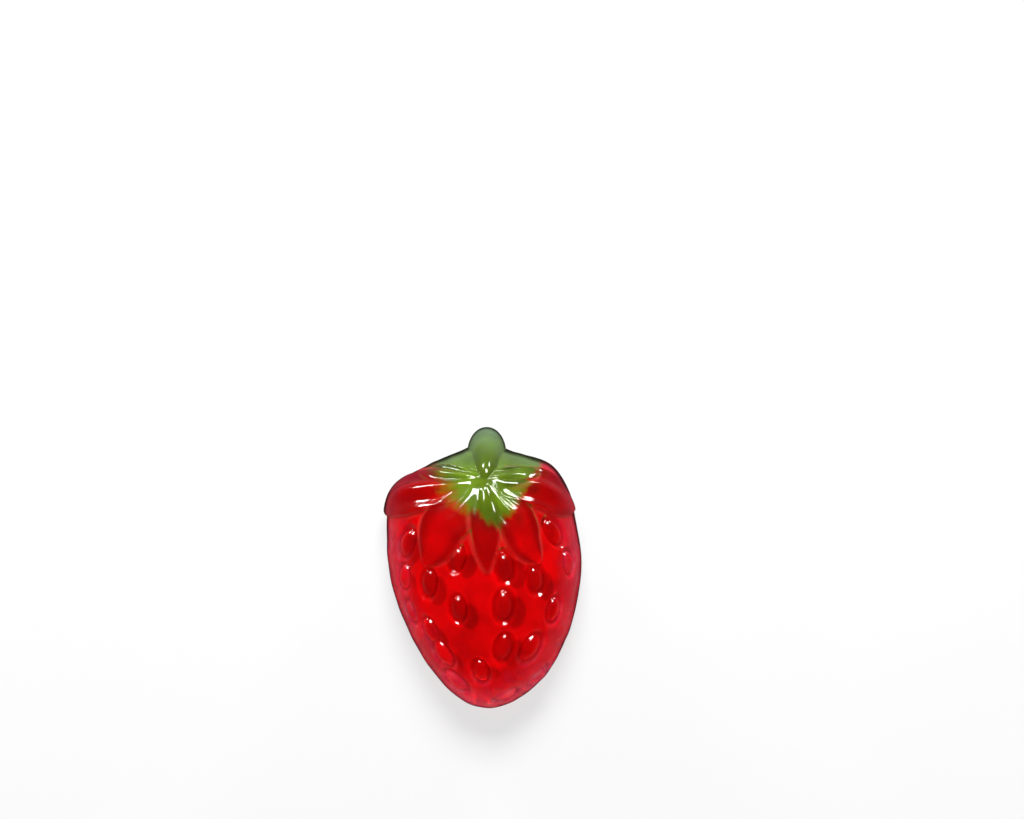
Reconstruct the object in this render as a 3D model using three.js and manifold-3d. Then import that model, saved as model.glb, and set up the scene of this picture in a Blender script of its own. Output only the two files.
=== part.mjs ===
// A strawberry gummy sweet: one piece of clear gel, cast face down in a starch mould.
// It lies on its flat back, which was the open face of the mould, with the moulded side up.
// X is across the fruit, Y runs from its tip to its stalk, and Z is up from the flat back.
// Everything on the moulded side is relief in the same gel: seven sepals, the stalk, and
// seeds that stand in shallow dishes. Lengths are in millimetres and angles in degrees.

import * as THREE from "three";
import { mergeVertices } from "three/addons/utils/BufferGeometryUtils.js";
import Module from "manifold-3d";

// ---------- Driving dimensions ----------

// The fruit seen from above, tip first and then anticlockwise, without sepals and stalk.
const OUTLINE = [
  [0.8, -16.9],
  [4.7, -15.5],
  [8.1, -12.2],
  [10.6, -7.0],
  [11.7, -2.0],
  [11.85, 1.6],
  [11.2, 5.6],
  [10.4, 9.2],
  [8.2, 12.4],
  [3.8, 13.9],
  [0.5, 15.0],
  [-3.2, 13.8],
  [-6.6, 12.3],
  [-10.5, 9.9],
  [-11.4, 7.0],
  [-11.45, 2.6],
  [-11.0, -1.6],
  [-9.4, -6.4],
  [-6.6, -11.6],
  [-2.9, -15.6],
];
const MIDDLE = new THREE.Vector2(0.3, 1.5); // under the crown of the dome
const CROWN = 11.0; // height of the dome
const EDGE = 0.8; // radius of the rounded edge of the flat back
const FULLNESS = 0.75; // 1 is an ellipse, and less gives a flatter top and steeper sides

const CALYX = new THREE.Vector2(0.1, 10.8); // where the sepals and the stalk meet
const SEPAL_THICKNESS = 0.5;
const SEPAL_ROOT = 1.1; // how deep a sepal's underside is sunk in the fruit
const SEPAL_CROWNING = 0.3; // how far its sides fall away from its midline
const SEPAL_START = 0.04; // its width grows and falls as a sine from this share of a half turn
const SEPAL_SKEW = 1.15; // over 1 puts the widest place nearer the tip
const SEPAL_BLUNTNESS = 0.6; // under 1 rounds the tip
const SEPAL_LEAST = 0.01; // keeps that sine over 0, so that the tip has an edge
const RIB_HEIGHT = 0.22; // ribs along each sepal, above and below its mean surface
const RIBS = 2;
const RIB_RISE = 0.3; // where along a sepal its ribs reach their full height
const RIB_FADE = [0.45, 0.85]; // where along it they begin to fade, and are gone
// Each sepal's tip: its bearing from MIDDLE, its place down the mould wall, which is 0 at the
// crown and 1 at the widest line, and the sepal's half width.
const SEPALS = [
  { bearing: 129, down: 0.84, halfWidth: 1.7 },
  { bearing: 155, down: 0.97, halfWidth: 3.1 },
  { bearing: 188, down: 0.42, halfWidth: 2.9 },
  { bearing: 279, down: 0.07, halfWidth: 1.9 },
  { bearing: 353, down: 0.38, halfWidth: 2.4 },
  { bearing: 28, down: 0.86, halfWidth: 2.9 },
  { bearing: 57, down: 0.68, halfWidth: 1.7 },
];

const STALK_TIP = 16.88; // its end, along Y
const STALK_FOOT = 8.6; // its hidden end, inside the fruit
const STALK_HALF_WIDTH = 2.75;
const STALK_TAPER = 0.3; // how much narrower it gets towards its foot
const STALK_X = 0.5;
const STALK_HIGH = 11.9; // its back over the foot
const STALK_LOW = 4.8; // its back over the tip
const STALK_WALL = 0.1; // share of its height that stands straight before its back rounds over

// Seeds, as places seen from above.
const SEEDS = [
  [-3.0, 1.3],
  [-6.5, -1.6],
  [-2.9, -4.6],
  [2.6, -4.2],
  [6.4, -1.1],
  [10.4, 0.8],
  [8.6, 4.5],
  [8.6, -4.8],
  [5.9, -9.4],
  [2.6, -9.3],
  [-0.2, -12.2],
  [-4.8, -10.1],
  [-6.3, -7.3],
  [-8.6, -5.1],
  [2.7, 0.4],
  [-9.4, -0.9],
  [-9.1, 3.1],
  [6.8, -12.9],
  [2.9, -15.2],
  [-3.3, -13.4],
];
const SEED_HALF_WIDTH = 1.0;
const SEED_HALF_LENGTH = 1.65;
const SEED_HALF_HEIGHT = 0.75;
const SEED_SINK = 0.55; // how deep its middle lies under the mould wall
const SEED_UNEVENNESS = 0.14; // how much larger or smaller than the mean a seed is
const DISH_HALF_WIDTH = 1.45;
const DISH_HALF_LENGTH = 2.3;
const DISH_DEPTH = 0.6;
const DISH_ROUNDNESS = 2.4; // half height of the ellipsoid that cuts a dish, in dish depths
const GOLDEN_SHARE = 0.618034; // spreads the seeds' sizes evenly

// Fineness of the mesh
const AROUND = 64;
const DOME_RINGS = 12;
const EDGE_RINGS = 3;
const SEPAL_STEPS_ACROSS = 12;
const SEPAL_STEPS_ALONG = 8;
const STALK_AROUND = 20;
const STALK_RINGS = 7;
const SEED_STEPS = 10;
const DISH_STEPS = 16;
const OUTLINE_SAMPLES = 720;
const STEP = 0.01; // a short way over the unrolled wall, to find its slope
const MERGE_WITHIN = 1e-4;

// ---------- The mould wall ----------

const QUARTER_TURN = Math.PI / 2;

const rimPoints = new THREE.CatmullRomCurve3(
  OUTLINE.map(([x, y]) => new THREE.Vector3(x - MIDDLE.x, y - MIDDLE.y, 0)),
  true,
).getSpacedPoints(OUTLINE_SAMPLES);

// Distance from MIDDLE to the fruit's outline, at a bearing in radians.
function rimDistance(bearing) {
  const ray = new THREE.Vector2(Math.cos(bearing), Math.sin(bearing));
  for (let i = 1; i < rimPoints.length; i++) {
    const a = rimPoints[i - 1];
    const b = rimPoints[i];
    const sideA = ray.x * a.y - ray.y * a.x;
    const sideB = ray.x * b.y - ray.y * b.x;
    const ahead = ray.x * a.x + ray.y * a.y > 0;
    if (ahead && sideA <= 0 && sideB > 0) {
      const share = sideA / (sideA - sideB);
      return Math.hypot(a.x + share * (b.x - a.x), a.y + share * (b.y - a.y));
    }
  }
  throw new Error("no outline at bearing " + bearing);
}

// The mould wall in section: how far out from the middle, as a share of the outline's
// distance, and how high. down is 0 at the crown and 1 at the widest line.
function wallSection(down) {
  const turn = Math.min(down, 1) * QUARTER_TURN;
  const drop = Math.max(Math.cos(turn), 0) ** FULLNESS;
  return new THREE.Vector2(Math.sin(turn), EDGE + (CROWN - EDGE) * drop);
}

// A point of the mould wall. place is in the unrolled wall, a disc of radius 1 round the crown.
function wallPoint(place) {
  const bearing = Math.atan2(place.y, place.x);
  const section = wallSection(place.length());
  const out = section.x * rimDistance(bearing);
  const x = MIDDLE.x + out * Math.cos(bearing);
  const y = MIDDLE.y + out * Math.sin(bearing);
  return new THREE.Vector3(x, y, section.y);
}

function wallNormal(place) {
  const here = wallPoint(place);
  const alongX = wallPoint(new THREE.Vector2(place.x + STEP, place.y)).sub(here);
  const alongY = wallPoint(new THREE.Vector2(place.x, place.y + STEP)).sub(here);
  return alongX.cross(alongY).normalize();
}

// The place in the unrolled wall that is seen at (x, y) from above.
function placeSeenAt(x, y) {
  const fromMiddle = new THREE.Vector2(x, y).sub(MIDDLE);
  const share = fromMiddle.length() / rimDistance(fromMiddle.angle());
  const down = Math.asin(Math.min(share, 1)) / QUARTER_TURN;
  return fromMiddle.setLength(down);
}

function placeAt(bearing, down) {
  const angle = THREE.MathUtils.degToRad(bearing);
  return new THREE.Vector2(down * Math.cos(angle), down * Math.sin(angle));
}

// ---------- Solids ----------

const wasm = await Module();
wasm.setup();

function moveEachVertex(geometry, move) {
  const position = geometry.getAttribute("position");
  const vertex = new THREE.Vector3();
  for (let i = 0; i < position.count; i++) {
    vertex.fromBufferAttribute(position, i);
    const moved = move(vertex);
    position.setXYZ(i, moved.x, moved.y, moved.z);
  }
  return geometry;
}

function solid(geometry) {
  geometry.deleteAttribute("normal");
  geometry.deleteAttribute("uv");
  const merged = mergeVertices(geometry, MERGE_WITHIN);
  return new wasm.Manifold(
    new wasm.Mesh({
      numProp: 3,
      vertProperties: new Float32Array(merged.getAttribute("position").array),
      triVerts: new Uint32Array(merged.index.array),
    }),
  );
}

function toGeometry(manifold) {
  const mesh = manifold.getMesh();
  const geometry = new THREE.BufferGeometry();
  geometry.setAttribute("position", new THREE.BufferAttribute(mesh.vertProperties, 3));
  geometry.setIndex(new THREE.BufferAttribute(mesh.triVerts, 1));
  geometry.computeVertexNormals();
  return geometry;
}

// The fruit: a profile turned about the crown's axis, then drawn out to the outline.
function fruit() {
  const profile = [new THREE.Vector2(0, 0)];
  for (let i = 0; i < EDGE_RINGS; i++) {
    const turn = (i / EDGE_RINGS) * QUARTER_TURN;
    const shrink = (EDGE * (1 - Math.sin(turn))) / -OUTLINE[0][1];
    profile.push(new THREE.Vector2(1 - shrink, EDGE * (1 - Math.cos(turn))));
  }
  for (let i = DOME_RINGS; i > 0; i--) {
    profile.push(wallSection(i / DOME_RINGS));
  }
  profile.push(new THREE.Vector2(0, CROWN));
  const dome = new THREE.LatheGeometry(profile, AROUND).rotateX(QUARTER_TURN);
  moveEachVertex(dome, (v) => {
    const stretch = rimDistance(Math.atan2(v.y, v.x));
    return new THREE.Vector3(MIDDLE.x + v.x * stretch, MIDDLE.y + v.y * stretch, v.z);
  });
  return solid(dome);
}

// A sepal's half width along its length, as a share of its widest. The tip is blunt.
function leafWidth(along) {
  const turn = SEPAL_START + (1 - SEPAL_START) * along ** SEPAL_SKEW;
  return Math.max(Math.sin(Math.PI * turn), SEPAL_LEAST) ** SEPAL_BLUNTNESS;
}

// Ribs fade out at the calyx, where the sepals run into each other, and at the tip.
function ribHeight(across, along) {
  const { smoothstep } = THREE.MathUtils;
  const strength = smoothstep(along, 0, RIB_RISE) * (1 - smoothstep(along, ...RIB_FADE));
  return RIB_HEIGHT * Math.cos(RIBS * Math.PI * across) * strength;
}

// A sepal: a ribbed leaf draped over the mould wall from the calyx to its tip.
function sepal({ bearing, down, halfWidth }) {
  const start = placeSeenAt(CALYX.x, CALYX.y);
  const tip = placeAt(bearing, down);
  const leaf = new THREE.BoxGeometry(2, 1, 1, SEPAL_STEPS_ACROSS, SEPAL_STEPS_ALONG, 1);
  moveEachVertex(leaf, (v) => {
    const along = v.y + 0.5;
    const place = start.clone().lerp(tip, along);
    const normal = wallNormal(place);
    const ahead = wallPoint(start.clone().lerp(tip, along + STEP)).sub(wallPoint(place));
    const side = ahead.cross(normal).normalize();
    const offset = v.x * halfWidth * leafWidth(along);
    const droop = offset ** 2 / (2 * CROWN);
    const top = SEPAL_THICKNESS + ribHeight(v.x, along) - SEPAL_CROWNING * v.x ** 4;
    const lift = (v.z > 0 ? top : -SEPAL_ROOT) - droop;
    return wallPoint(place).addScaledVector(side, offset).addScaledVector(normal, lift);
  });
  return solid(leaf);
}

// The stalk: a rounded tongue that leans down and out over the edge of the fruit to the flat back.
function stalk() {
  const profile = [new THREE.Vector2(0, 0), new THREE.Vector2(1 - EDGE / (2 * STALK_HALF_WIDTH), 0)];
  for (let i = STALK_RINGS; i > 0; i--) {
    const turn = (i / STALK_RINGS) * QUARTER_TURN;
    const round = Math.cos(turn) ** FULLNESS;
    profile.push(new THREE.Vector2(Math.sin(turn), STALK_WALL + (1 - STALK_WALL) * round));
  }
  profile.push(new THREE.Vector2(0, 1));
  const tongue = new THREE.LatheGeometry(profile, STALK_AROUND).rotateX(QUARTER_TURN);
  const halfLength = (STALK_TIP - STALK_FOOT) / 2;
  const slope = (STALK_HIGH - STALK_LOW) / (2 * halfLength);
  moveEachVertex(tongue, (v) => {
    const height = STALK_LOW + slope * halfLength * (1 - v.y);
    const narrowing = 1 - (STALK_TAPER * (1 - v.y)) / 2;
    return new THREE.Vector3(
      STALK_X + v.x * STALK_HALF_WIDTH * narrowing,
      STALK_TIP - halfLength + v.y * halfLength,
      v.z * height,
    );
  });
  return solid(tongue);
}

// Seeds lie along the lines that run from the calyx to the fruit's tip, as a magnet's do.
function seedDirection(x, y) {
  const fromCalyx = new THREE.Vector3(x - CALYX.x, y - CALYX.y, 0);
  const toTip = new THREE.Vector3(OUTLINE[0][0] - x, OUTLINE[0][1] - y, 0);
  fromCalyx.divideScalar(fromCalyx.length() ** 3);
  toTip.divideScalar(toTip.length() ** 3);
  return fromCalyx.add(toTip);
}

// An ellipsoid set on the mould wall at a seed's place.
function ellipsoidAt([x, y], halfSizes, lift, steps) {
  const place = placeSeenAt(x, y);
  const normal = wallNormal(place);
  const side = seedDirection(x, y).cross(normal).normalize();
  const along = normal.clone().cross(side);
  const centre = wallPoint(place).addScaledVector(normal, lift);
  const placed = new THREE.Matrix4().makeBasis(side, along, normal).setPosition(centre);
  const ball = new THREE.SphereGeometry(1, steps, steps / 2);
  ball.rotateX(QUARTER_TURN).scale(...halfSizes).applyMatrix4(placed);
  return solid(ball);
}

// Seeds differ a little in size, by an even spread that repeats the same way each time.
function unevenSize(index) {
  const spread = (index * GOLDEN_SHARE) % 1;
  return 1 + SEED_UNEVENNESS * (2 * spread - 1);
}

function seed(spot, index) {
  const size = unevenSize(index);
  const halfSizes = [SEED_HALF_WIDTH, SEED_HALF_LENGTH, SEED_HALF_HEIGHT].map((s) => s * size);
  return ellipsoidAt(spot, halfSizes, -SEED_SINK * size, SEED_STEPS);
}

// A dish is cut with an ellipsoid whose lower cap reaches DISH_DEPTH into the wall.
function dish(spot, index) {
  const size = unevenSize(index);
  const halfHeight = DISH_ROUNDNESS * DISH_DEPTH;
  const spread = 1 / Math.sqrt(1 - (1 - DISH_DEPTH / halfHeight) ** 2);
  const halfSizes = [DISH_HALF_WIDTH * size * spread, DISH_HALF_LENGTH * size * spread, halfHeight];
  return ellipsoidAt(spot, halfSizes, halfHeight - DISH_DEPTH, DISH_STEPS);
}

// ---------- The sweet ----------

let gel = fruit();
SEEDS.forEach((spot, index) => {
  gel = gel.subtract(dish(spot, index));
});
SEEDS.forEach((spot, index) => {
  gel = gel.add(seed(spot, index));
});
SEPALS.forEach((leaf) => {
  gel = gel.add(sepal(leaf));
});
gel = gel.add(stalk());

const material = new THREE.MeshStandardMaterial({ color: 0xc8060c, roughness: 0.12, metalness: 0 });
const gummy = new THREE.Mesh(toGeometry(gel), material);
gummy.name = "gummy";

const sweet = new THREE.Group();
sweet.add(gummy);

export default sweet;
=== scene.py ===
# A clear strawberry gummy sweet that lies on its flat back, seen from straight above.
# Its moulded side carries seven ribbed sepals, and seeds that stand in shallow dishes. A short
# stalk leans out over its upper end. It is one piece of gel, red below and green at the crown.
# Shapes are worked out in millimetres, and the finished piece is scaled to metres.

import math

import bpy
import numpy as np
from mathutils import Matrix, Vector
from mathutils.bvhtree import BVHTree


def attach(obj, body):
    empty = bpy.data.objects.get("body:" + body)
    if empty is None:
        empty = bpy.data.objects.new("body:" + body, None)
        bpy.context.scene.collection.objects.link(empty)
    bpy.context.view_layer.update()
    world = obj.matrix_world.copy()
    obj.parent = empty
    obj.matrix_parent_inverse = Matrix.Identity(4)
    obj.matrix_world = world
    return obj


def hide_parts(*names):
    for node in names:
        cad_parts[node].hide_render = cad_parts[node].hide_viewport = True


MM = 0.001
TURN = 2 * math.pi
QUARTER_TURN = math.pi / 2

# ---------- Sizes of the sweet, in millimetres ----------

# The fruit seen from above, tip first and then anticlockwise, without sepals and stalk.
OUTLINE = [
    (0.8, -16.9),
    (4.7, -15.5),
    (8.1, -12.2),
    (10.6, -7.0),
    (11.7, -2.0),
    (11.85, 1.6),
    (11.2, 5.6),
    (10.4, 9.2),
    (8.2, 12.4),
    (3.8, 13.9),
    (0.5, 15.0),
    (-3.2, 13.8),
    (-6.6, 12.3),
    (-10.5, 9.9),
    (-11.4, 7.0),
    (-11.45, 2.6),
    (-11.0, -1.6),
    (-9.4, -6.4),
    (-6.6, -11.6),
    (-2.9, -15.6),
]
MIDDLE = np.array((0.3, 1.5))  # under the crown of the dome
CROWN = 11.0  # height of the dome
EDGE = 0.8  # radius of the rounded edge of the flat back
FULLNESS = 0.75  # 1 is an ellipse, and less gives a flatter top and steeper sides

CALYX = np.array((0.1, 10.8))  # where the sepals and the stalk meet
SEPAL_THICKNESS = 0.5
SEPAL_CROWNING = 0.3  # how far its sides fall away from its midline
SEPAL_START = 0.04  # its width grows and falls as a sine from this share of a half turn
SEPAL_SKEW = 1.15  # over 1 puts the widest place nearer the tip
SEPAL_BLUNTNESS = 0.6  # under 1 rounds the tip
SEPAL_LEAST = 0.01  # keeps that sine over 0, so that the tip has an edge
SEPAL_FLATNESS = 4  # over 2 keeps its middle flat and lets it fall away near its sides
RIB_HEIGHT = 0.22  # ribs along each sepal, above and below its mean surface
RIBS = 2
RIB_RISE = 0.3  # where along a sepal its ribs reach their full height
# Where along a sepal its ribs begin to fade and are gone: on a sepal with its tip on the crown, and
# how much further on one that reaches the widest line
RIB_FADE = (0.25, 0.5)
RIB_FADE_LATER = (0.35, 0.4)
# Each sepal's tip: its bearing from MIDDLE in degrees, its place down the mould wall, which is 0 at the
# crown and 1 at the widest line, and the sepal's half width. Then the height of its ribs against
# RIB_HEIGHT, and how much painted shade darkens its middle.
SEPALS = [
    (129, 0.84, 1.7, 1.0, 0.5),
    (155, 0.97, 3.1, 1.0, 0.85),
    (188, 0.42, 2.9, 0.4, 0.35),
    (279, 0.07, 1.9, 0.8, 0.9),
    (353, 0.38, 2.4, 0.8, 0.1),
    (28, 0.86, 2.9, 1.0, 0.7),
    (57, 0.68, 1.7, 1.0, 0.3),
]

STALK_TIP = 16.88  # its end, along Y
STALK_FOOT = 8.6  # its hidden end, inside the fruit
STALK_HALF_WIDTH = 2.75
STALK_TAPER = 0.3  # how much narrower it gets towards its foot
STALK_X = 0.5
STALK_HIGH = 11.9  # its back over the foot
STALK_LOW = 4.8  # its back over the tip
STALK_EDGE = 0.3  # radius of the rounded edge of its flat underside
# Where its middle is painted darker: across it, in half widths, and along it, from -1 at its foot to 1
STALK_CORE = (0.45, 0.9)
STALK_CORE_BEGINS = (-0.75, -0.3)
STALK_CORE_ENDS = (-0.1, 0.7)
STALK_CORE_DARKENING = 0.6

# Seeds, as places seen from above.
SEEDS = [
    (-3.0, 1.3),
    (-6.5, -1.6),
    (-2.9, -4.6),
    (2.6, -4.2),
    (6.4, -1.1),
    (10.4, 0.8),
    (8.6, 4.5),
    (8.6, -4.8),
    (5.9, -9.4),
    (2.6, -9.3),
    (-0.2, -12.2),
    (-4.8, -10.1),
    (-6.3, -7.3),
    (-8.6, -5.1),
    (2.7, 0.4),
    (-9.4, -0.9),
    (-9.1, 3.1),
    (6.8, -12.9),
    (2.9, -15.2),
    (-3.3, -13.4),
]
SEED_HALF_WIDTH = 1.0
SEED_HALF_LENGTH = 1.65
SEED_HALF_HEIGHT = 0.8
SEED_SINK = 0.57  # how deep its middle lies under the mould wall
SEED_UNEVENNESS = 0.14  # how much larger or smaller than the mean a seed is
DISH_HALF_WIDTH = 1.45
DISH_HALF_LENGTH = 2.3
DISH_DEPTH = 0.78
DISH_ROUNDNESS = 2.0  # half height of the ball that presses a dish, in dish depths
GOLDEN_SHARE = 0.618034  # spreads the seeds' sizes evenly
# Painted shade: each seed is painted darker, and a painted shadow lies beside it, offset to the lower
# right.
SEED_SHADE_EDGE = (0.8, 1.1)  # where the painted shade on a seed fades and is gone: its own edge is at 1
SHADE = 0.9  # how dark a seed's painted shadow is, as a share of the painted shade on the seed
SHADE_OFFSET = np.array((1.4, -0.9, 0.0))  # from a seed to the middle of its painted shadow, which falls beside it
SHADE_HALF_WIDTH = 1.2
SHADE_HALF_LENGTH = 1.75
SHADE_EDGE = (0.8, 1.15)  # the same for its painted shadow
SEED_FADE = (0.5, 0.62)  # where down the wall both painted shades fade out, since the rim lets light in from the side

# ---------- Fineness and softness of the modelled gel, and the painted shades and highlight lines on it ---

DOME_FACES_A_SIDE = 168
STALK_FACES_A_SIDE = 40
EDGE_RINGS = 6
MERGE_WITHIN = 0.005  # corners nearer to each other than this become one
LOOKS_DOWN = -0.99  # what looks straight down has a normal whose Z is less than this
LOOKS_PART_DOWN = -0.5  # and what looks partly down, less than this
RELIEF_ENDS = 0.95  # where down the wall the relief begins to flatten out, to end at the widest line
BLEND = 0.07  # how far gel rounds the corners between relief and wall
LEAF_EDGE = 0.28  # width over which a sepal's edge drops to the wall
LEAF_LINE = (0.1, 0.4)  # how far from a sepal's edge its painted highlight line fades and is gone
# Where along a sepal its painted highlight line and its painted shade begin and are full, and where across
# it, in half widths, the painted shade of its sides begins and is full
LEAF_LINE_ALONG = (0.35, 0.55)
LEAF_SHADE_ALONG = (0.2, 0.45)
LEAF_SHADE_ACROSS = (0.25, 0.75)
SWELL = 0.08  # slow unevenness of the mould wall
# The waves that it is the mean of: radians a millimetre along X and along Y, and the wave's start
SWELL_WAVES = [(1.1, 0.6, 1), (-0.8, 1.6, 2), (2.3, 1.2, 0)]
CRUMPLE = 0.06  # small folds where the sepals run together
CRUMPLE_REACH = 1.6
CRUMPLE_WAVES = [(5.3, 2.1, 1), (-3.2, 4.9, 0), (2.7, 6.1, 2)]
DIMPLE = 0.4  # depth of the hollow there
DIMPLE_REACH = 1.0
SHOULDERS = (2, 8)  # where along Y the fruit's shoulders begin and are full
DARK_LINE_STRENGTH = 0.85  # of the painted dark line along the outline, on the sides, against 1 on the shoulders
# How far in from the outline that painted dark line begins to fade and is gone: on the sides, and how much
# further on the shoulders
DARK_LINE = (0.08, 0.26)
DARK_LINE_WIDENS = (0.1, 0.4)
VALLEY_DEPTH = 0.1  # how deep a crease is that takes the full painted shade
VALLEY_ROUNDS = 14  # how far round a place its mean height is taken, in faces
BACK_GRID = 1.2  # size of the faces on the flat back

# ---------- The mould wall ----------


def loop_through(points, steps=36):
    """A closed curve through the points, by centripetal Catmull-Rom."""
    points = np.array(points, float)
    count = len(points)
    t = np.linspace(0, 1, steps, endpoint=False)[:, None]
    curve = []
    for i in range(count):
        before, start, end, after = points[[i - 1, i, (i + 1) % count, (i + 2) % count]]
        gap_in = math.sqrt(np.linalg.norm(start - before))
        gap = math.sqrt(np.linalg.norm(end - start))
        gap_out = math.sqrt(np.linalg.norm(after - end))
        leave = (start - before) / gap_in - (end - before) / (gap_in + gap) + (end - start) / gap
        arrive = (end - start) / gap - (after - start) / (gap + gap_out) + (after - end) / gap_out
        curve.append(
            start * (2 * t**3 - 3 * t**2 + 1)
            + leave * gap * (t**3 - 2 * t**2 + t)
            + end * (3 * t**2 - 2 * t**3)
            + arrive * gap * (t**3 - t**2)
        )
    return np.concatenate(curve)


RIM = loop_through(OUTLINE) - MIDDLE
RIM_BEARINGS = np.arctan2(RIM[:, 1], RIM[:, 0]) % TURN
RIM_DISTANCES = np.hypot(RIM[:, 0], RIM[:, 1])


def rim_distance(bearing):
    """Distance from MIDDLE to the fruit's outline."""
    return np.interp(bearing % TURN, RIM_BEARINGS, RIM_DISTANCES, period=TURN)


def wall_points(places):
    """Points of the mould wall. A place is in the unrolled wall, a disc of radius 1 round the crown."""
    down = np.minimum(np.hypot(places[:, 0], places[:, 1]), 1) * QUARTER_TURN
    bearing = np.arctan2(places[:, 1], places[:, 0])
    out = np.sin(down) * rim_distance(bearing)
    height = EDGE + (CROWN - EDGE) * np.maximum(np.cos(down), 0) ** FULLNESS
    x = MIDDLE[0] + out * np.cos(bearing)
    y = MIDDLE[1] + out * np.sin(bearing)
    return np.column_stack((x, y, height))


def wall_normals(places):
    step = 0.01
    here = wall_points(places)
    along_x = wall_points(places + (step, 0)) - here
    along_y = wall_points(places + (0, step)) - here
    return unit(np.cross(along_x, along_y))


def unit(vectors):
    return vectors / np.linalg.norm(vectors, axis=-1, keepdims=True)


def place_seen_at(x, y):
    """The place in the unrolled wall that is seen at (x, y) from above."""
    from_middle = np.array((x, y)) - MIDDLE
    distance = np.linalg.norm(from_middle)
    share = distance / rim_distance(math.atan2(from_middle[1], from_middle[0]))
    return from_middle / distance * math.asin(min(share, 1)) / QUARTER_TURN


def smooth_step(value, low, high):
    t = np.clip((value - low) / (high - low), 0, 1)
    return t * t * (3 - 2 * t)


def soft_max(a, b, blend=BLEND):
    gap = np.maximum(blend - np.abs(a - b), 0)
    return np.maximum(a, b) + gap**2 / (4 * blend)


# ---------- Relief, as heights over the mould wall ----------

OFF = -9.0  # a height that never shows


def seed_direction(x, y):
    """Seeds lie along the lines that run from the calyx to the fruit's tip, as a magnet's do."""
    from_calyx = np.array((x, y)) - CALYX
    to_tip = np.array(OUTLINE[0]) - (x, y)
    lines = from_calyx / np.linalg.norm(from_calyx) ** 3 + to_tip / np.linalg.norm(to_tip) ** 3
    return np.array((*lines, 0.0))


def seed_relief(points):
    """Dishes pressed into the wall and the seeds that stand in them, and the painted shade there: most on
    a seed, and a little less in the painted shadow that falls beside it."""
    hollow = np.zeros(len(points))
    seed_shade = np.zeros(len(points))
    bump = np.full(len(points), OFF)
    cap = DISH_ROUNDNESS * DISH_DEPTH  # half height of the ball whose lower cap is the dish
    spread = 1 / math.sqrt(1 - (1 - DISH_DEPTH / cap) ** 2)
    for index, (x, y) in enumerate(SEEDS):
        size = 1 + SEED_UNEVENNESS * (2 * (index * GOLDEN_SHARE % 1) - 1)
        place = place_seen_at(x, y)[None]
        normal = wall_normals(place)[0]
        side = unit(np.cross(seed_direction(x, y), normal))
        along = np.cross(normal, side)
        offset = points - wall_points(place)[0]
        near = np.linalg.norm(offset, axis=1) < 2 * DISH_HALF_LENGTH
        across_mm, along_mm = offset[near] @ side / size, offset[near] @ along / size
        in_dish = np.hypot(across_mm / DISH_HALF_WIDTH, along_mm / DISH_HALF_LENGTH) / spread
        dish = cap * (1 - np.sqrt(np.maximum(1 - in_dish**2, 0))) - DISH_DEPTH
        in_seed = np.hypot(across_mm / SEED_HALF_WIDTH, along_mm / SEED_HALF_LENGTH)
        back = SEED_HALF_HEIGHT * np.sqrt(np.maximum(1 - in_seed**2, 0)) - SEED_SINK
        from_shade = offset[near] - SHADE_OFFSET
        across_shade, along_shade = from_shade @ side / size, from_shade @ along / size
        in_shade = np.hypot(across_shade / SHADE_HALF_WIDTH, along_shade / SHADE_HALF_LENGTH)
        seed_shade[near] = np.maximum(seed_shade[near], 1 - smooth_step(in_seed, *SEED_SHADE_EDGE))
        shade = SHADE * (1 - smooth_step(in_shade, *SHADE_EDGE))
        seed_shade[near] = np.maximum(seed_shade[near], shade)
        hollow[near] = -soft_max(-hollow[near], -dish)
        bump[near] = np.maximum(bump[near], np.where(in_seed < 1, back * size, OFF))
    return soft_max(hollow, bump), seed_shade


def leaf_width(along):
    """A sepal's half width along its length, as a share of its widest. The tip is blunt."""
    turn = SEPAL_START + (1 - SEPAL_START) * np.clip(along, 0, 1) ** SEPAL_SKEW
    return np.maximum(np.sin(math.pi * turn), SEPAL_LEAST) ** SEPAL_BLUNTNESS


def sepal_relief(points, bearing, down, half_width, ribs, dimness, steps=60):
    """Height of one ribbed sepal over the wall, OFF beyond it, its painted shade, which is most in its
    outer half, and the painted highlight line along its edge."""
    start = place_seen_at(*CALYX)
    angle = math.radians(bearing)
    tip = down * np.array((math.cos(angle), math.sin(angle)))
    share = np.linspace(0, 1, steps + 1)[:, None]
    places = start * (1 - share) + tip * share
    spine = wall_points(places)
    ahead = np.gradient(spine, axis=0)
    sides = unit(np.cross(ahead, wall_normals(places)))
    nearest = np.full(len(points), np.inf)
    along = np.zeros(len(points))
    offset = np.zeros(len(points))
    for k in range(steps + 1):
        gap = points - spine[k]
        distance = np.linalg.norm(gap, axis=1)
        closer = distance < nearest
        nearest[closer] = distance[closer]
        past = gap[closer] @ ahead[k] / (ahead[k] @ ahead[k])
        along[closer] = (k + past) / steps
        offset[closer] = gap[closer] @ sides[k]
    width = half_width * leaf_width(along)
    across = offset / width
    fade = [start + later * down for start, later in zip(RIB_FADE, RIB_FADE_LATER)]
    strength = smooth_step(along, 0, RIB_RISE) * (1 - smooth_step(along, *fade))
    rib = ribs * RIB_HEIGHT * np.cos(RIBS * math.pi * across) * strength
    height = SEPAL_THICKNESS + rib - SEPAL_CROWNING * across**SEPAL_FLATNESS
    edge = smooth_step((1 - np.abs(across)) * width, 0, LEAF_EDGE)
    on_leaf = (np.abs(across) < 1) & (along > 0) & (along < 1)
    painted_sepal_shade = dimness + (1 - dimness) * smooth_step(np.abs(across), *LEAF_SHADE_ACROSS)
    painted_sepal_shade *= smooth_step(along, *LEAF_SHADE_ALONG) * edge * on_leaf
    line = 1 - smooth_step(np.abs(1 - np.abs(across)) * width, *LEAF_LINE)
    line *= smooth_step(along, *LEAF_LINE_ALONG) * (along > 0) * (along < 1)
    return np.where(on_leaf, height * edge, OFF), painted_sepal_shade, line


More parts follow.
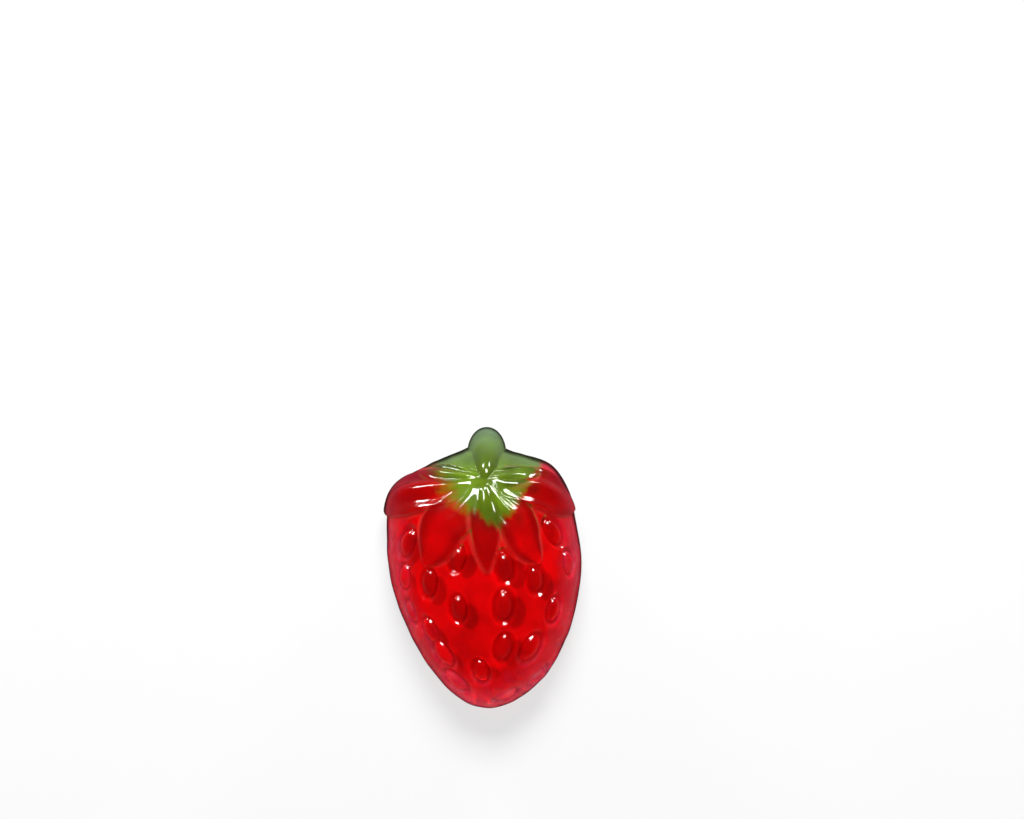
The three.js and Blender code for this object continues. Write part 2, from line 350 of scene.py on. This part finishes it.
def mean_of_waves(points, waves):
    """The mean height of sine waves that cross the fruit as seen from above."""
    x, y = points[:, 0], points[:, 1]
    return sum(np.sin(by_x * x + by_y * y + start) for by_x, by_y, start in waves) / len(waves)


def wall_swell(points):
    """Slow unevenness, as a starch mould leaves it."""
    return SWELL * mean_of_waves(points, SWELL_WAVES)


def calyx_folds(points):
    """The hollow and the small folds where the sepals run together."""
    from_calyx = np.hypot(points[:, 0] - CALYX[0], points[:, 1] - CALYX[1])
    folds = CRUMPLE * mean_of_waves(points, CRUMPLE_WAVES)
    hollow = DIMPLE * np.exp(-((from_calyx / DIMPLE_REACH) ** 2))
    return folds * np.exp(-((from_calyx / CRUMPLE_REACH) ** 2)) - hollow


def painted_outline_shade(from_outline, y):
    """How dark the painted shade along the gel's outline is, which is most on the shoulders."""
    shoulder = smooth_step(y, *SHOULDERS)
    near, far = (start + wider * shoulder for start, wider in zip(DARK_LINE, DARK_LINE_WIDENS))
    strength = DARK_LINE_STRENGTH + (1 - DARK_LINE_STRENGTH) * shoulder
    return strength * (1 - smooth_step(from_outline, near, far))


# ---------- Shaping with Blender's tools ----------


def deselect_all():
    bpy.ops.object.select_all(action="DESELECT")


def edit(piece):
    deselect_all()
    piece.select_set(True)
    bpy.context.view_layer.objects.active = piece
    bpy.ops.object.mode_set(mode="EDIT")
    bpy.ops.mesh.select_all(action="DESELECT")


def leave_edit():
    bpy.ops.object.mode_set(mode="OBJECT")


def select_flat_base(piece):
    """Selects in edit mode the faces that look straight down."""
    leave_edit()
    normals = np.empty(len(piece.data.polygons) * 3)
    piece.data.polygons.foreach_get("normal", normals)
    piece.data.polygons.foreach_set("select", normals[2::3] < LOOKS_DOWN)
    bpy.ops.object.mode_set(mode="EDIT")
    bpy.ops.mesh.select_mode(type="FACE")


def corners(piece):
    coordinates = np.empty(len(piece.data.vertices) * 3)
    piece.data.vertices.foreach_get("co", coordinates)
    return coordinates.reshape(-1, 3)


def corner_normals(piece):
    normals = np.empty(len(piece.data.vertices) * 3)
    piece.data.vertices.foreach_get("normal", normals)
    return normals.reshape(-1, 3)


def move_corners(piece, places):
    piece.data.vertices.foreach_set("co", np.asarray(places, float).ravel())
    piece.data.update()


def half_ball(name, faces_a_side):
    """A closed half ball of radius 1 on the XY plane, of even squares: half a cube, rounded."""
    deselect_all()
    bpy.ops.mesh.primitive_cube_add(size=2)
    ball = bpy.context.object
    ball.name = name
    edit(ball)
    bpy.ops.mesh.select_all(action="SELECT")
    bpy.ops.mesh.subdivide(number_cuts=1)
    bpy.ops.mesh.subdivide(number_cuts=faces_a_side // 2 - 1)
    leave_edit()
    move_corners(ball, unit(np.tan(corners(ball) * math.pi / 4)))
    edit(ball)
    bpy.ops.mesh.select_all(action="SELECT")
    bpy.ops.mesh.bisect(plane_co=(0, 0, 0), plane_no=(0, 0, 1), use_fill=True, clear_inner=True)
    leave_edit()
    return ball


def round_off_base(piece, centre, radius, reach):
    """Draws the flat face at the bottom down to the table in rings that round its edge."""
    select_flat_base(piece)
    for i in range(EDGE_RINGS):
        before, after = (QUARTER_TURN * k / EDGE_RINGS for k in (i, i + 1))
        drop = radius * (math.sin(after) - math.sin(before))
        shares = [1 - radius * (1 - math.cos(turn)) / reach for turn in (before, after)]
        shrink = shares[1] / shares[0]
        bpy.ops.mesh.extrude_region_move(TRANSFORM_OT_translate={"value": (0, 0, -drop)})
        bpy.ops.transform.resize(value=(shrink, shrink, 1), center_override=(*centre, 0))
    bpy.ops.mesh.inset(thickness=radius / 4)
    leave_edit()


def note(piece, name, values):
    """Keeps a number at each corner, for the material."""
    attribute = piece.data.attributes.new(name, "FLOAT", "POINT")
    attribute.data.foreach_set("value", values)


def mean_nearby(piece, values):
    """The values, each averaged with its neighbours', over and over."""
    ends = np.empty(len(piece.data.edges) * 2, dtype=int)
    piece.data.edges.foreach_get("vertices", ends)
    left, right = ends.reshape(-1, 2).T
    count = np.bincount(ends, minlength=len(values))
    for _ in range(VALLEY_ROUNDS):
        total = np.bincount(left, values[right], len(values))
        total += np.bincount(right, values[left], len(values))
        values = (values + total / count) / 2
    return values


def make_fruit():
    fruit = half_ball("fruit", DOME_FACES_A_SIDE)
    ball = corners(fruit)
    down = np.arccos(np.clip(ball[:, 2], 0, 1)) / QUARTER_TURN
    bearing = np.arctan2(ball[:, 1], ball[:, 0])
    places = np.column_stack((down * np.cos(bearing), down * np.sin(bearing)))
    wall = wall_points(places)
    move_corners(fruit, wall)
    normals = corner_normals(fruit)
    relief, seed_shade = seed_relief(wall)
    relief += wall_swell(wall)
    sepal_shade_and_stalk_core = np.zeros(len(wall))
    leaf_lines = np.zeros(len(wall))
    for sepal in SEPALS:
        leaf, shade, line = sepal_relief(wall, *sepal)
        sepal_shade_and_stalk_core = np.maximum(sepal_shade_and_stalk_core, shade)
        leaf_lines = np.where(leaf > relief, line, np.maximum(leaf_lines, line))
        relief = soft_max(relief, leaf)
    relief += calyx_folds(wall)
    relief *= 1 - smooth_step(down, RELIEF_ENDS, 1)
    move_corners(fruit, wall + normals * relief[:, None])
    # Painted shade on the seeds, and painted shadows beside them, faded towards the rim.
    note(fruit, "painted_seed_shade", seed_shade * (1 - smooth_step(down, *SEED_FADE)))
    # Painted shade in creases and painted light on crests.
    note(fruit, "crease_shade_crest_light", np.clip((mean_nearby(fruit, relief) - relief) / VALLEY_DEPTH, -1, 1))
    # Painted shade on the sepals.
    note(fruit, "sepal_shade_and_stalk_core", sepal_shade_and_stalk_core)
    # Painted highlight along the sepals' edges.
    note(fruit, "painted_edge_glint", leaf_lines)
    from_outline = rim_distance(bearing) * (1 - np.sin(down * QUARTER_TURN))
    note(fruit, "painted_outline_shade", painted_outline_shade(from_outline, wall[:, 1]))
    round_off_base(fruit, MIDDLE, EDGE, -OUTLINE[0][1])
    return fruit


def make_stalk():
    """A rounded tongue that leans down and out over the edge of the fruit to the flat back."""
    stalk = half_ball("stalk", STALK_FACES_A_SIDE)
    ball = corners(stalk)
    half_length = (STALK_TIP - STALK_FOOT) / 2
    slope = (STALK_HIGH - STALK_LOW) / (2 * half_length)
    height = STALK_LOW + slope * half_length * (1 - ball[:, 1])
    narrowing = 1 - STALK_TAPER * (1 - ball[:, 1]) / 2
    x = STALK_X + ball[:, 0] * STALK_HALF_WIDTH * narrowing
    y = STALK_TIP - half_length + ball[:, 1] * half_length
    z = STALK_EDGE + (height - STALK_EDGE) * np.maximum(ball[:, 2], 0) ** FULLNESS
    move_corners(stalk, np.column_stack((x, y, z)))
    # Its foot, which is thick and runs down to the calyx, is painted darker.
    core = 1 - smooth_step(np.abs(ball[:, 0]), *STALK_CORE)
    core *= smooth_step(ball[:, 1], *STALK_CORE_BEGINS)
    core *= 1 - smooth_step(ball[:, 1], *STALK_CORE_ENDS)
    note(stalk, "sepal_shade_and_stalk_core", STALK_CORE_DARKENING * core)
    from_outline = STALK_HALF_WIDTH * (1 - np.hypot(ball[:, 0], ball[:, 1]))
    note(stalk, "painted_outline_shade", painted_outline_shade(from_outline, np.zeros(len(ball))))
    round_off_base(stalk, (STALK_X, STALK_TIP - half_length), STALK_EDGE, half_length)
    return stalk


def join_solids(body, other):
    """Fuses other into body by one Boolean union, and removes other."""
    union = body.modifiers.new("fuse", "BOOLEAN")
    union.operation = "UNION"
    union.solver = "MANIFOLD"
    union.object = other
    deselect_all()
    body.select_set(True)
    bpy.context.view_layer.objects.active = body
    bpy.ops.object.modifier_apply(modifier=union.name)
    bpy.data.objects.remove(other)


def cut_back_into_squares(piece):
    """Cuts the flat back along a square grid, so that it can carry its own colours."""
    select_flat_base(piece)
    bpy.ops.mesh.hide(unselected=True)
    for axis in (Vector((1, 0, 0)), Vector((0, 1, 0))):
        reach = int(STALK_TIP / BACK_GRID)
        for step in range(-reach, reach + 1):
            bpy.ops.mesh.select_all(action="SELECT")
            bpy.ops.mesh.bisect(plane_co=axis * step * BACK_GRID, plane_no=axis)
    bpy.ops.mesh.reveal(select=False)


def make_gummy():
    gummy = make_fruit()
    join_solids(gummy, make_stalk())
    gummy.name = "gummy_gel"
    edit(gummy)
    bpy.ops.mesh.select_all(action="SELECT")
    bpy.ops.mesh.remove_doubles(threshold=MERGE_WITHIN)
    cut_back_into_squares(gummy)
    leave_edit()
    note_depth(gummy)
    clear_line_from_back(gummy)
    gummy.data.transform(Matrix.Scale(MM, 4))
    deselect_all()
    gummy.select_set(True)
    bpy.ops.object.shade_smooth()
    return gummy


# ---------- Where the gel is deep, and where it is green ----------

# How far the green reaches from the calyx, by bearing in degrees
GREEN_REACH = {
    0: 5.6,
    18: 7.4,
    40: 9.5,
    60: 13.0,
    135: 13.0,
    150: 8.5,
    163: 6.6,
    178: 5.2,
    190: 4.6,
    210: 4.3,
    240: 3.9,
    262: 4.0,
    289: 5.8,
    315: 4.9,
    340: 4.9,
}
BORDER_SLANT = 0.17  # how far the border leans towards the tip, a millimetre of depth
FINGER = 0.35  # how far the green's fingers run out over its border
FINGERS = (11, 23, 37)  # how many there are in a turn, from broad to thin
# How much softer than elsewhere the border is on the left, and how far to the left of the middle
# that begins and is full
LEFT_SOFTNESS = 0.6
LEFT_SIDE = (0, 3)


def note_depth(gummy):
    """Notes at each corner how deep the gel is there and how far it is inside the green."""
    points = corners(gummy)
    tree = BVHTree.FromPolygons(points.tolist(), [tuple(f.vertices) for f in gummy.data.polygons])
    depth = np.zeros(len(points))
    for i, (x, y, z) in enumerate(points):
        hit = tree.ray_cast(Vector((x, y, 2 * CROWN)), Vector((0, 0, -1)))[0]
        depth[i] = hit.z if hit else z
    from_calyx = points[:, :2] - CALYX
    from_calyx[:, 1] += BORDER_SLANT * (depth - points[:, 2])
    bearing = np.degrees(np.arctan2(from_calyx[:, 1], from_calyx[:, 0])) % 360
    reach = np.interp(bearing, list(GREEN_REACH), list(GREEN_REACH.values()), period=360)
    inside = reach - np.hypot(from_calyx[:, 0], from_calyx[:, 1])
    for count in FINGERS:
        inside += FINGER / len(FINGERS) * np.sin(np.radians(count * bearing) + count)
    inside *= 1 - LEFT_SOFTNESS * smooth_step(-points[:, 0], *LEFT_SIDE)
    note(gummy, "depth_mm", depth)
    note(gummy, "inside_green_mm", inside)


def clear_line_from_back(gummy):
    """The painted dark line stays on the sides. The flat back, which carries it round its edge, loses it.
    """
    on_side = corner_normals(gummy)[:, 2] > LOOKS_PART_DOWN
    line = gummy.data.attributes["painted_outline_shade"].data
    darkness = np.empty(len(line))
    line.foreach_get("value", darkness)
    line.foreach_set("value", darkness * on_side)


# ---------- Materials ----------


def linear(colour):
    """An sRGB hex colour as linear red, green, blue and alpha."""
    parts = [int(colour[i : i + 2], 16) / 255 for i in (1, 3, 5)]
    return (*[p / 12.92 if p <= 0.04045 else ((p + 0.055) / 1.055) ** 2.4 for p in parts], 1)


def add_node(tree, kind, inputs=None, **settings):
    """Adds a node. inputs gives each socket a value, or another node's socket to link. A Mix node's
    two colours are its inputs 6 and 7, and the mixed colour is its output 2."""
    node = tree.nodes.new(kind)
    for name, value in settings.items():
        setattr(node, name, value)
    for key, value in (inputs or {}).items():
        if isinstance(value, bpy.types.NodeSocket):
            tree.links.new(value, node.inputs[key])
        else:
            node.inputs[key].default_value = value
    return node


def new_material(name):
    material = bpy.data.materials.new(name)
    material.use_nodes = True
    material.node_tree.nodes.clear()
    return material


# The gel's patterns. Depths are in millimetres, and scales in spots a metre.
CLOUD_SCALE = 280.0
STREAK_SCALE = 900.0
CLOUDINESS = 4.0  # how much deeper the cloudiest gel looks than the clearest
RED_DEPTHS = (0.5, 8.5)  # at the first depth the red is wholly its pale colour, at the last its deep
GREEN_DEPTHS = (3.5, 9.5)
CLOUD_EDGES = (0.35, 0.65)  # where in the clouds' noise they are darkest and lightest
CLOUD_TONES = (0.7, 1.0)  # and how light the gel is there
BORDER_WANDER = 1.0  # how far the streaks carry the green's border to and fro
BORDER_SOFTNESS = 0.6  # half width over which the green runs out
RIM_LIGHT = 0.9  # how much of the painted light's pale colour the lower rim takes
RIM_DEPTHS = (8.0, 5.0)  # where its painted light begins and is full
RIM_ALONG = (0.008, 0.002)  # the same along Y, in metres
RIM_LIGHT_EDGES = (0.42, 0.62)  # where in the streaks' noise a patch of painted light begins and is full
PLAIN_TONE = 0.93  # how light the gel is where there is neither painted crease shade nor painted crest light
CREASE_SHADE = 0.35  # how much darker the painted shade is in a full crease, and how much lighter the painted light is on a full crest
LINE_SHADE = 0.95  # how much darker the painted shade is in the line along the outline
LEAF_GLINT = 0.3  # how much of the painted highlight's light colour a sepal's edge takes
RIPPLE_SCALE = 650.0
RIPPLE_HEIGHT = 0.0003  # in metres
RIPPLE_STRENGTH = 0.12


def dye_by_depth(tree, depth, clouds, streaks):
    """The red dye lets pink through where the gel is thin, and closes to pure red where it is deep.
    Where the two pours met, the green runs into the red in fingers and streaks."""
    # Cloudy patches and streaks look as if the gel were deeper there, and clear ones shallower.
    seeming = depth
    for noise in (clouds, streaks):
        by_noise = add_node(
            tree, "ShaderNodeMath", {0: noise, 1: CLOUDINESS, 2: -CLOUDINESS / 2}, operation="MULTIPLY_ADD"
        ).outputs[0]
        seeming = add_node(
            tree, "ShaderNodeMath", {0: seeming, 1: by_noise}, operation="ADD"
        ).outputs[0]
    dyes = []
    for (shallow, deep), pale, full in (
        (RED_DEPTHS, "#F454A0", "#FE0108"),
        (GREEN_DEPTHS, "#84A484", "#84B02C"),
    ):
        deepness = add_node(
            tree,
            "ShaderNodeMapRange",
            {"Value": seeming, "From Min": shallow, "From Max": deep},
            interpolation_type="SMOOTHSTEP",
        ).outputs["Result"]
        dye = add_node(
            tree,
            "ShaderNodeMix",
            {"Factor": deepness, 6: linear(pale), 7: linear(full)},
            data_type="RGBA",
        ).outputs[2]
        dyes.append(dye)

    inside = add_node(tree, "ShaderNodeAttribute", attribute_name="inside_green_mm").outputs["Fac"]
    wandering = add_node(
        tree,
        "ShaderNodeMath",
        {0: streaks, 1: BORDER_WANDER, 2: -BORDER_WANDER / 2},
        operation="MULTIPLY_ADD",
    ).outputs[0]
    border = add_node(tree, "ShaderNodeMath", {0: inside, 1: wandering}, operation="ADD").outputs[0]
    greenness = add_node(
        tree,
        "ShaderNodeMapRange",
        {"Value": border, "From Min": -BORDER_SOFTNESS, "From Max": BORDER_SOFTNESS},
        interpolation_type="SMOOTHSTEP",
    ).outputs["Result"]
    red, green = dyes
    return add_node(
        tree, "ShaderNodeMix", {"Factor": greenness, 6: red, 7: green}, data_type="RGBA"
    ).outputs[2]


def painted_rim_light(tree, dye, place, depth, streaks):
    """Along the lower rim the gel is thin, and it is painted pale pink in patches about 1 mm across:
    painted light, on the lower side only.
    """
    along_fruit = add_node(tree, "ShaderNodeSeparateXYZ", {"Vector": place}).outputs["Y"]
    rim_light_share = RIM_LIGHT
    for value, (none, full) in (
        (along_fruit, RIM_ALONG),
        (depth, RIM_DEPTHS),
        (streaks, RIM_LIGHT_EDGES),
    ):
        share = add_node(
            tree, "ShaderNodeMapRange", {"Value": value, "From Min": none, "From Max": full}
        ).outputs["Result"]
        rim_light_share = add_node(tree, "ShaderNodeMath", {0: share, 1: rim_light_share}, operation="MULTIPLY").outputs[0]
    return add_node(
        tree, "ShaderNodeMix", {"Factor": rim_light_share, 6: dye, 7: linear("#F87C98")}, data_type="RGBA"
    ).outputs[2]


def shades_and_lines(tree, dye, clouds):
    """Paints shade: each seed and the shadow beside it, each sepal's sides and each crease are darker than
    the wall, painted light makes each crest lighter, and the stalk's core is darker. A clear body bends
    the light along its outline away, and the dark line that this leaves there is painted shade too."""
    # Painted shade on the seeds and their shadows, on the sepals' sides, and the stalk's darker core.
    for shade, tint in (("painted_seed_shade", "#ACACAC"), ("sepal_shade_and_stalk_core", "#A0A0A0")):
        strength = add_node(tree, "ShaderNodeAttribute", attribute_name=shade).outputs["Fac"]
        dye = add_node(
            tree,
            "ShaderNodeMix",
            {"Factor": strength, 6: dye, 7: linear(tint)},
            data_type="RGBA",
            blend_type="MULTIPLY",
        ).outputs[2]
    tone = add_node(
        tree,
        "ShaderNodeMapRange",
        {
            "Value": clouds,
            "From Min": CLOUD_EDGES[0],
            "From Max": CLOUD_EDGES[1],
            "To Min": CLOUD_TONES[0],
            "To Max": CLOUD_TONES[1],
        },
        interpolation_type="SMOOTHSTEP",
    ).outputs["Result"]
    for shade, darkening, plain in (
        ("crease_shade_crest_light", CREASE_SHADE, PLAIN_TONE),
        ("painted_outline_shade", LINE_SHADE, 1.0),
    ):
        strength = add_node(tree, "ShaderNodeAttribute", attribute_name=shade).outputs["Fac"]
        lightness = add_node(
            tree, "ShaderNodeMath", {0: strength, 1: -darkening, 2: plain}, operation="MULTIPLY_ADD"
        ).outputs[0]
        tone = add_node(tree, "ShaderNodeMath", {0: tone, 1: lightness}, operation="MULTIPLY").outputs[0]
    dye = add_node(
        tree, "ShaderNodeVectorMath", {0: dye, "Scale": tone}, operation="SCALE"
    ).outputs[0]
    # Painted highlight: the edges of the sepals catch the light.
    painted_edge_glint = add_node(tree, "ShaderNodeAttribute", attribute_name="painted_edge_glint").outputs["Fac"]
    glint = add_node(
        tree, "ShaderNodeMath", {0: painted_edge_glint, 1: LEAF_GLINT}, operation="MULTIPLY"
    ).outputs[0]
    return add_node(
        tree, "ShaderNodeMix", {"Factor": glint, 6: dye, 7: linear("#FF7A68")}, data_type="RGBA"
    ).outputs[2]


def gelatine_gel():
    """Cast gelatine and sugar gel, polished with oil: clear, wet-looking and dyed right through. It is
    a little cloudy, in patches 3 to 4 mm across and in streaks about 1 mm wide."""
    material = new_material("gelatine_gel")
    tree = material.node_tree
    place = add_node(tree, "ShaderNodeTexCoord").outputs["Object"]
    depth = add_node(tree, "ShaderNodeAttribute", attribute_name="depth_mm").outputs["Fac"]
    clouds = add_node(
        tree, "ShaderNodeTexNoise", {"Vector": place, "Scale": CLOUD_SCALE, "Detail": 1.0}
    ).outputs["Fac"]
    streaks = add_node(
        tree, "ShaderNodeTexNoise", {"Vector": place, "Scale": STREAK_SCALE, "Detail": 2.0}
    ).outputs["Fac"]
    dye = dye_by_depth(tree, depth, clouds, streaks)
    dye = painted_rim_light(tree, dye, place, depth, streaks)
    dye = shades_and_lines(tree, dye, clouds)

    # Faint ripples break up the highlights.
    ripples = add_node(
        tree, "ShaderNodeTexNoise", {"Vector": place, "Scale": RIPPLE_SCALE, "Detail": 1.0}
    ).outputs["Fac"]
    ripple_bump = add_node(
        tree,
        "ShaderNodeBump",
        {"Height": ripples, "Strength": RIPPLE_STRENGTH, "Distance": RIPPLE_HEIGHT},
    ).outputs["Normal"]

    gel = add_node(
        tree,
        "ShaderNodeBsdfPrincipled",
        {
            "Base Color": dye,
            "Roughness": 0.12,
            "IOR": 1.45,
            "Transmission Weight": 0.84,
            "Normal": ripple_bump,
        },
    ).outputs["BSDF"]
    absorption = add_node(
        tree, "ShaderNodeVolumeAbsorption", {"Color": (0.94, 0.7, 0.05, 1), "Density": 70.0}
    ).outputs["Volume"]
    add_node(tree, "ShaderNodeOutputMaterial", {"Surface": gel, "Volume": absorption})
    return material


MOTTLE_SCALE = 60.0


def lit_acrylic():
    """A sheet of white acrylic over a light box: dull, very slightly mottled, and glowing."""
    material = new_material("lit_acrylic")
    tree = material.node_tree
    place = add_node(tree, "ShaderNodeTexCoord").outputs["Object"]
    mottle = add_node(
        tree, "ShaderNodeTexNoise", {"Vector": place, "Scale": MOTTLE_SCALE, "Detail": 3.0}
    ).outputs["Fac"]
    white = add_node(
        tree,
        "ShaderNodeMix",
        {"Factor": mottle, 6: linear("#727272"), 7: linear("#767676")},
        data_type="RGBA",
    ).outputs[2]
    sheet = add_node(
        tree,
        "ShaderNodeBsdfPrincipled",
        {
            "Base Color": white,
            "Roughness": 0.9,
            "Specular IOR Level": 0.0,
            "Emission Color": (1.0, 1.0, 1.0, 1.0),
            "Emission Strength": 0.72,
        },
    ).outputs["BSDF"]
    add_node(tree, "ShaderNodeOutputMaterial", {"Surface": sheet})
    return material


# ---------- The table, the light and the camera ----------

# The photograph's frame, and where the sweet is in it, in its pixels
PHOTO_WIDTH = 1024
PHOTO_HEIGHT = 819
PHOTO_SCALE = 8.31  # pixels a millimetre
SWEET_IN_PHOTO = (482.6, 567.2)  # the middle of the sweet's box
LENS = 180.0  # this and the sensor's width are in millimetres
SENSOR = 36.0
FLOOR_SIZE = 3.0  # this and the next two are in metres
FLOOR_GAP = 0.0001  # keeps the floor just clear of the sweet's back
LAMP_DISTANCE = 0.4


def make_floor():
    """The floor isn't mirrored in the gel, which would veil its steep sides."""
    deselect_all()
    bpy.ops.mesh.primitive_plane_add(size=FLOOR_SIZE, location=(0, 0, -FLOOR_GAP))
    floor = bpy.context.object
    floor.name = "floor"
    bpy.ops.object.transform_apply(location=True, rotation=True, scale=True)
    floor.data.materials.append(lit_acrylic())
    floor.visible_glossy = False


# How bright the surroundings are, from straight down at 0 over the horizon at 0.5 to straight up
SKY_BANDS = [(0.03, 0.02), (0.14, 0.18), (0.36, 0.15), (0.52, 0.1), (0.65, 0.05), (0.98, 0.04)]
# The same as seen through the gel: the room's pale walls light it from behind.
WALL_BANDS = [(0.03, 0.02), (0.14, 0.18), (0.4, 0.3), (0.53, 1.3), (0.72, 1.2), (0.98, 0.3)]


def make_sky():
    """Soft light from all round, low rather than high, so that the gel's back stays clear of glare."""
    world = bpy.data.worlds.new("studio")
    bpy.context.scene.world = world
    world.use_nodes = True
    tree = world.node_tree
    tree.nodes.clear()
    direction = add_node(tree, "ShaderNodeTexCoord").outputs["Generated"]
    up = add_node(tree, "ShaderNodeSeparateXYZ", {"Vector": direction}).outputs["Z"]
    share_up = add_node(
        tree, "ShaderNodeMath", {0: up, 1: 0.5, 2: 0.5}, operation="MULTIPLY_ADD"
    ).outputs[0]
    lights = []
    for bands in (SKY_BANDS, WALL_BANDS):
        ramp = add_node(tree, "ShaderNodeValToRGB", {"Fac": share_up})
        ramp.color_ramp.interpolation = "EASE"
        stops = ramp.color_ramp.elements
        for position, grey in bands:
            stops.new(position).color = (grey, grey, grey, 1)
        stops.remove(stops[-1])
        stops.remove(stops[0])
        lights.append(ramp.outputs["Color"])
    sky_light, wall_light = lights
    through_gel = add_node(tree, "ShaderNodeLightPath").outputs["Is Transmission Ray"]
    light = add_node(
        tree, "ShaderNodeMix", {"Factor": through_gel, 6: sky_light, 7: wall_light}, data_type="RGBA"
    ).outputs[2]
    sky = add_node(tree, "ShaderNodeBackground", {"Color": light}).outputs["Background"]
    add_node(tree, "ShaderNodeOutputWorld", {"Surface": sky})


def softbox(name, bearing, elevation, size, brightness):
    """An oblong lamp that faces the sweet. Brightness is against white paper in plain light."""
    lamp = bpy.data.lights.new(name, "AREA")
    lamp.shape = "RECTANGLE"
    lamp.size, lamp.size_y = size
    lamp.energy = brightness * math.pi * size[0] * size[1]
    holder = bpy.data.objects.new(name, lamp)
    bpy.context.scene.collection.objects.link(holder)
    around, above = math.radians(bearing), math.radians(elevation)
    level = math.cos(above)
    away = Vector((math.cos(around) * level, math.sin(around) * level, math.sin(above)))
    holder.location = away * LAMP_DISTANCE
    holder.rotation_euler = away.to_track_quat("Z", "Y").to_euler()


def make_camera():
    camera = bpy.data.objects.new("camera", bpy.data.cameras.new("camera"))
    bpy.context.scene.collection.objects.link(camera)
    bpy.context.scene.camera = camera
    camera.data.lens = LENS
    camera.data.sensor_width = SENSOR
    across = PHOTO_WIDTH / PHOTO_SCALE * MM
    x = (PHOTO_WIDTH / 2 - SWEET_IN_PHOTO[0]) / PHOTO_SCALE * MM
    y = (SWEET_IN_PHOTO[1] - PHOTO_HEIGHT / 2) / PHOTO_SCALE * MM
    camera.location = (x, y, across * LENS / SENSOR)


# ---------- The scene ----------

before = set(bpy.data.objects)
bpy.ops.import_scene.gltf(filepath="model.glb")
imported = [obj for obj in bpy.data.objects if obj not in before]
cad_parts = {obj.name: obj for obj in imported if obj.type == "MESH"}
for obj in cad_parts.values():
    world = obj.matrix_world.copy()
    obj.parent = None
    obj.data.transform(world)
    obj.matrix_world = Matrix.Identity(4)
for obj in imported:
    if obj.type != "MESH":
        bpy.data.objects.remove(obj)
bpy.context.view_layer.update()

gummy = make_gummy()
gummy.data.materials.clear()
gummy.data.materials.append(gelatine_gel())
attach(gummy, "root")
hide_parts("gummy")

make_floor()
make_sky()
softbox("key", bearing=90, elevation=45, size=(0.19, 0.14), brightness=40)
softbox("left", bearing=124, elevation=12, size=(0.12, 0.07), brightness=36)
softbox("right", bearing=62, elevation=11, size=(0.1, 0.06), brightness=36)
make_camera()
bpy.context.scene.view_settings.view_transform = "Standard"
